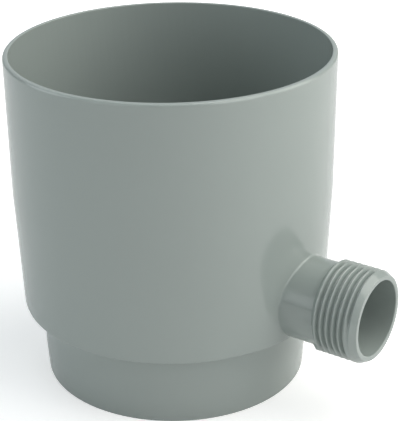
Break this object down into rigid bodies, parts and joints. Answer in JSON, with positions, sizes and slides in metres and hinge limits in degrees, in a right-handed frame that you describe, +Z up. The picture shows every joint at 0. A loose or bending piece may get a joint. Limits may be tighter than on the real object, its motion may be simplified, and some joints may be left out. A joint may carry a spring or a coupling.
{
  "type": "downpipe rain diverter",
  "caption": "Round tapering cup that joins two lengths of rain downpipe, with a spigot below, a ring channel round an inner standpipe, and a threaded side outlet.",
  "frame": {"origin": "centre of the spigot's lower end", "axes": "+Z up the downpipe's axis, +X along the side outlet, away from the pipe"},
  "size_m": [0.1444, 0.1174, 0.123],
  "materials": {
    "grey_pvc": "moulded, faint sheen"
  },
  "bodies": {
    "root": {"diverter_body": "grey_pvc"}
  },
  "joints": []
}
